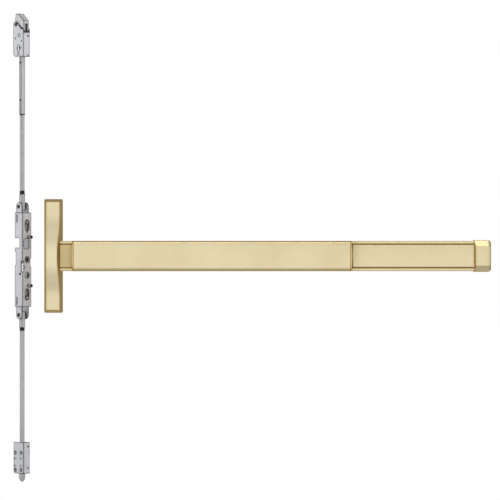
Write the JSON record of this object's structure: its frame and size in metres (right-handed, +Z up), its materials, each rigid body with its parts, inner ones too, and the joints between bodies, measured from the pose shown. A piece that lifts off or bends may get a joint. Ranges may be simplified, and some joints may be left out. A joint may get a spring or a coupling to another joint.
{
  "type": "vertical rod exit device",
  "caption": "Touchbar exit device in satin brass with its concealed rod set: pressing the bar draws the top latch down and the bottom bolt up.",
  "frame": {"origin": "on the door's face, at the middle of the head chassis's back", "axes": "+X along the rail to the end cap, +Y into the door, +Z up"},
  "size_m": [0.9113, 0.1154, 0.8956],
  "materials": {
    "satin_brass": "satin, brushed",
    "zinc_steel": "zinc plated, dull",
    "plain_steel": "plain, machined",
    "black_oxide": "black oxide"
  },
  "bodies": {
    "frame": {"head_cover": "satin_brass", "rail": "satin_brass", "neck_insert": "satin_brass", "rail_insert": "satin_brass", "end_cap": "satin_brass", "cover_screw_top": "plain_steel", "cover_screw_bottom": "plain_steel", "head_chassis": "plain_steel", "head_crank_pivot": "plain_steel", "end_bracket": "plain_steel", "cap_screw_top": "plain_steel", "cap_screw_bottom": "plain_steel", "lever_bracket_left": "plain_steel", "lever_bracket_right": "plain_steel", "lever_pivot_left": "plain_steel", "lever_pivot_right": "plain_steel", "pad_spring_left": "plain_steel", "pad_spring_right": "plain_steel", "case_screw": "plain_steel", "top_spring": "plain_steel", "bottom_spring": "plain_steel", "bolt_guide": "plain_steel", "rod_guide_ring": "plain_steel", "centre_case": "zinc_steel", "case_post_upper": "zinc_steel", "case_post_lower": "zinc_steel", "top_latch_case": "zinc_steel", "latch_pivot_pin": "zinc_steel", "bottom_latch_case": "zinc_steel"},
    "pad": {"push_pad": "satin_brass", "pad_end_left": "satin_brass", "pad_end_right": "satin_brass", "pad_pin_left": "plain_steel", "pad_pin_right": "plain_steel"},
    "link": {"link_bar": "plain_steel"},
    "lever_left": {"pad_lever_left": "plain_steel"},
    "lever_right": {"pad_lever_right": "plain_steel"},
    "crank": {"head_crank": "plain_steel"},
    "lift": {"lift_slide": "plain_steel"},
    "top_train": {"top_slide": "zinc_steel", "top_stud": "zinc_steel", "top_clevis_pin": "zinc_steel", "top_coupler": "zinc_steel", "top_lock_ring": "black_oxide", "top_rod": "zinc_steel", "sleeve_tube": "zinc_steel", "tube_pin_lower": "zinc_steel", "tube_pin_upper": "zinc_steel", "rod_head": "zinc_steel", "latch_guide_pin": "zinc_steel", "latch_drive_pin": "zinc_steel"},
    "bottom_train": {"bottom_slide": "zinc_steel", "bottom_stud": "zinc_steel", "bottom_clevis_pin": "zinc_steel", "bottom_coupler": "zinc_steel", "bottom_lock_ring": "black_oxide", "bottom_rod": "zinc_steel", "bottom_bolt": "plain_steel"},
    "pinion": {"pinion": "plain_steel"},
    "latch_bolt": {"latch_bolt": "plain_steel"}
  },
  "joints": [
    {"name": "pad_press", "type": "slide", "parent": "frame", "child": "pad", "axis": [0, 1, 0], "range_m": [0, 0.019], "stiffness_N_per_m": 420, "springref_m": -0.02},
    {"name": "link_slide", "type": "slide", "parent": "frame", "child": "link", "axis": [-1, 0, 0], "range_m": [0, 0.02267]},
    {"name": "lever_left_turn", "type": "hinge", "parent": "frame", "child": "lever_left", "pos_m": [0.11, -0.037, 0], "axis": [0, 0, 1], "range_deg": [0, 53.89]},
    {"name": "lever_right_turn", "type": "hinge", "parent": "frame", "child": "lever_right", "pos_m": [0.48, -0.037, 0], "axis": [0, 0, 1], "range_deg": [0, 53.89]},
    {"name": "crank_turn", "type": "hinge", "parent": "frame", "child": "crank", "pos_m": [0.006, -0.0211, -0.0174], "axis": [0, -1, 0], "range_deg": [0, 53.89]},
    {"name": "lift_drop", "type": "slide", "parent": "frame", "child": "lift", "axis": [0, 0, -1], "range_m": [0, 0.01271]},
    {"name": "top_train_drop", "type": "slide", "parent": "frame", "child": "top_train", "axis": [0, 0, -1], "range_m": [0, 0.01271], "deforming": ["top_spring"]},
    {"name": "bottom_train_rise", "type": "slide", "parent": "frame", "child": "bottom_train", "axis": [0, 0, 1], "range_m": [0, 0.01271], "deforming": ["bottom_spring"]},
    {"name": "pinion_turn", "type": "hinge", "parent": "frame", "child": "pinion", "pos_m": [-0.055, 0.0162, -0.007], "axis": [0.7071, -0.7071, 0], "range_deg": [0, 121.34]},
    {"name": "latch_bolt_turn", "type": "hinge", "parent": "frame", "child": "latch_bolt", "pos_m": [-0.06624, 0.02745, 0.4427], "axis": [0.7071, 0.7071, 0], "range_deg": [0, 35.02]}
  ],
  "couplings": [
    {"joint": "link_slide", "follows": "pad_press", "ratio": 1.1925},
    {"joint": "lever_left_turn", "follows": "pad_press", "rad_per_m": 49.477},
    {"joint": "lever_right_turn", "follows": "pad_press", "rad_per_m": 49.477},
    {"joint": "crank_turn", "follows": "pad_press", "rad_per_m": 49.477},
    {"joint": "lift_drop", "follows": "pad_press", "ratio": 0.66842},
    {"joint": "top_train_drop", "follows": "pad_press", "ratio": 0.66842},
    {"joint": "bottom_train_rise", "follows": "pad_press", "ratio": 0.66842},
    {"joint": "pinion_turn", "follows": "pad_press", "rad_per_m": 111.4},
    {"joint": "latch_bolt_turn", "follows": "pad_press", "rad_per_m": 32.151}
  ]
}
